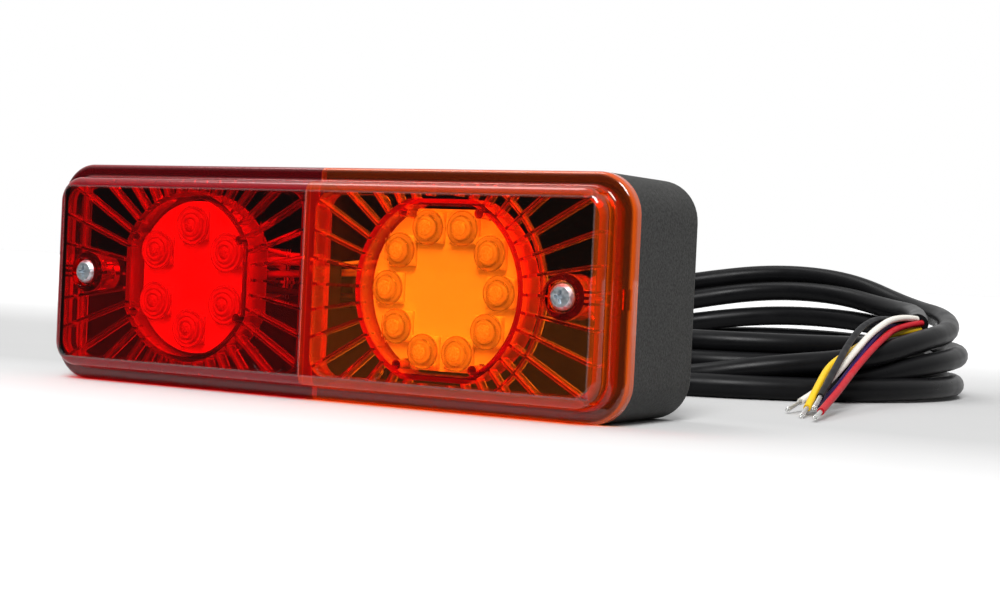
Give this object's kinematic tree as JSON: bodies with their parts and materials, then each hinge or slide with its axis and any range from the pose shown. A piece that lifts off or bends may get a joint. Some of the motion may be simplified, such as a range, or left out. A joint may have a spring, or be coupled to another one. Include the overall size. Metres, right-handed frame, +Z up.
{
  "type": "trailer tail light",
  "caption": "Two-chamber LED tail light for a trailer with red and amber screwed lenses, a black housing, rear studs and a coiled bare-ended lead.",
  "frame": {"origin": "middle of the lamp's box at the long edge it stands on, without its lead", "axes": "+X along the lamp towards the amber end, -Y out of the lit face, +Z up"},
  "size_m": [0.1919, 0.2771, 0.057],
  "materials": {
    "red_lens_plastic": "polished, transparent",
    "amber_lens_plastic": "polished, transparent",
    "housing_plastic": "fine sand texture",
    "seal_rubber": "matte",
    "zinc_steel": "blue zinc plate",
    "stud_steel": "zinc plate",
    "board_white": "white solder mask",
    "led_package": "satin",
    "clear_optic": "clear, moulded",
    "chip_black": "matte",
    "ceramic": "matte",
    "divider_plastic": "matte",
    "nylon": "satin",
    "cable_sheath": "satin",
    "core_yellow": "satin",
    "core_black": "satin",
    "core_white": "satin",
    "core_red": "satin",
    "core_violet": "satin",
    "tinned_copper": "tinned strands"
  },
  "bodies": {
    "root": {"amber_board": "board_white", "amber_diode": "chip_black", "amber_driver": "chip_black", "amber_leds": "led_package", "amber_lens": "amber_lens_plastic", "amber_optics": "clear_optic", "amber_resistors": "ceramic", "cable": "cable_sheath", "cable_coil": "cable_sheath", "cable_grommet": "seal_rubber", "cable_inside": "cable_sheath", "cable_tie": "nylon", "chamber_divider": "divider_plastic", "core_black": "core_black", "core_red": "core_red", "core_violet": "core_violet", "core_white": "core_white", "core_yellow": "core_yellow", "ground_jumpers": "core_white", "ground_splice": "nylon", "housing": "housing_plastic", "inner_wire_black": "core_black", "inner_wire_red": "core_red", "inner_wire_violet": "core_violet", "inner_wire_white": "core_white", "inner_wire_yellow": "core_yellow", "lens_screws": "zinc_steel", "lens_seal": "seal_rubber", "rear_studs": "stud_steel", "red_board": "board_white", "red_diode": "chip_black", "red_driver": "chip_black", "red_leds": "led_package", "red_lens": "red_lens_plastic", "red_optics": "clear_optic", "red_resistors": "ceramic", "screw_seals": "seal_rubber", "strand_black": "tinned_copper", "strand_red": "tinned_copper", "strand_violet": "tinned_copper", "strand_white": "tinned_copper", "strand_yellow": "tinned_copper", "stud_seals": "seal_rubber"}
  },
  "joints": []
}
